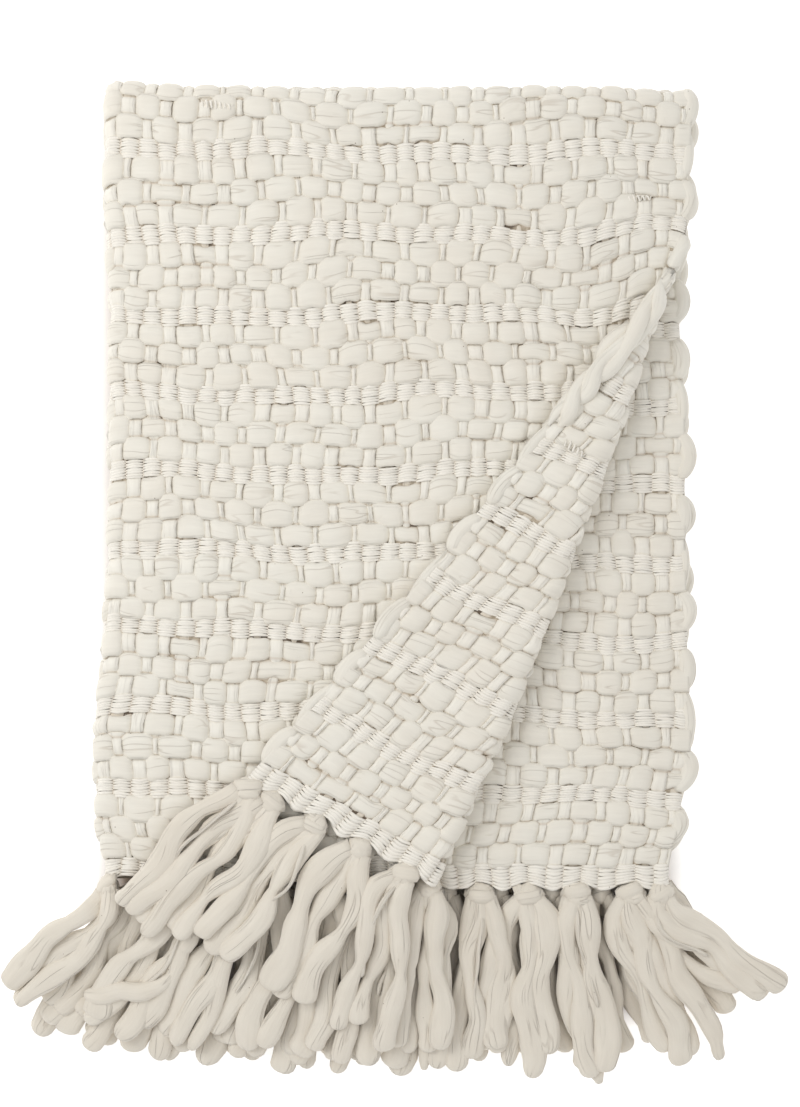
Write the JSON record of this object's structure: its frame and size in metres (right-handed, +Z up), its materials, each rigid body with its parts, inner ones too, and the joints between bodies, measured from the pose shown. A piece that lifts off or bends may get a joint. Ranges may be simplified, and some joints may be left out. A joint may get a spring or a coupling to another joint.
{
  "type": "wool throw blanket",
  "caption": "Chunky hand-woven wool throw with knotted fringe, folded in four and laid flat with one corner of its top layer turned back.",
  "frame": {"origin": "on the floor under the folded cloth, near its middle, where the underside rests", "axes": "+Z up, +Y towards the crosswise fold (top of the picture), -Y towards the fringe, +X towards the selvages (right of the picture)"},
  "size_m": [0.8213, 1.0806, 0.0922],
  "materials": {
    "woven_wool": "soft matte undyed wool, loosely spun",
    "fringe_wool": "soft matte undyed wool, loose roving"
  },
  "bodies": {
    "root": {"throw_cloth": "woven_wool", "fringe_top_layer": "fringe_wool", "fringe_second_layer": "fringe_wool", "fringe_third_layer": "fringe_wool", "fringe_bottom_layer": "fringe_wool"}
  },
  "joints": []
}
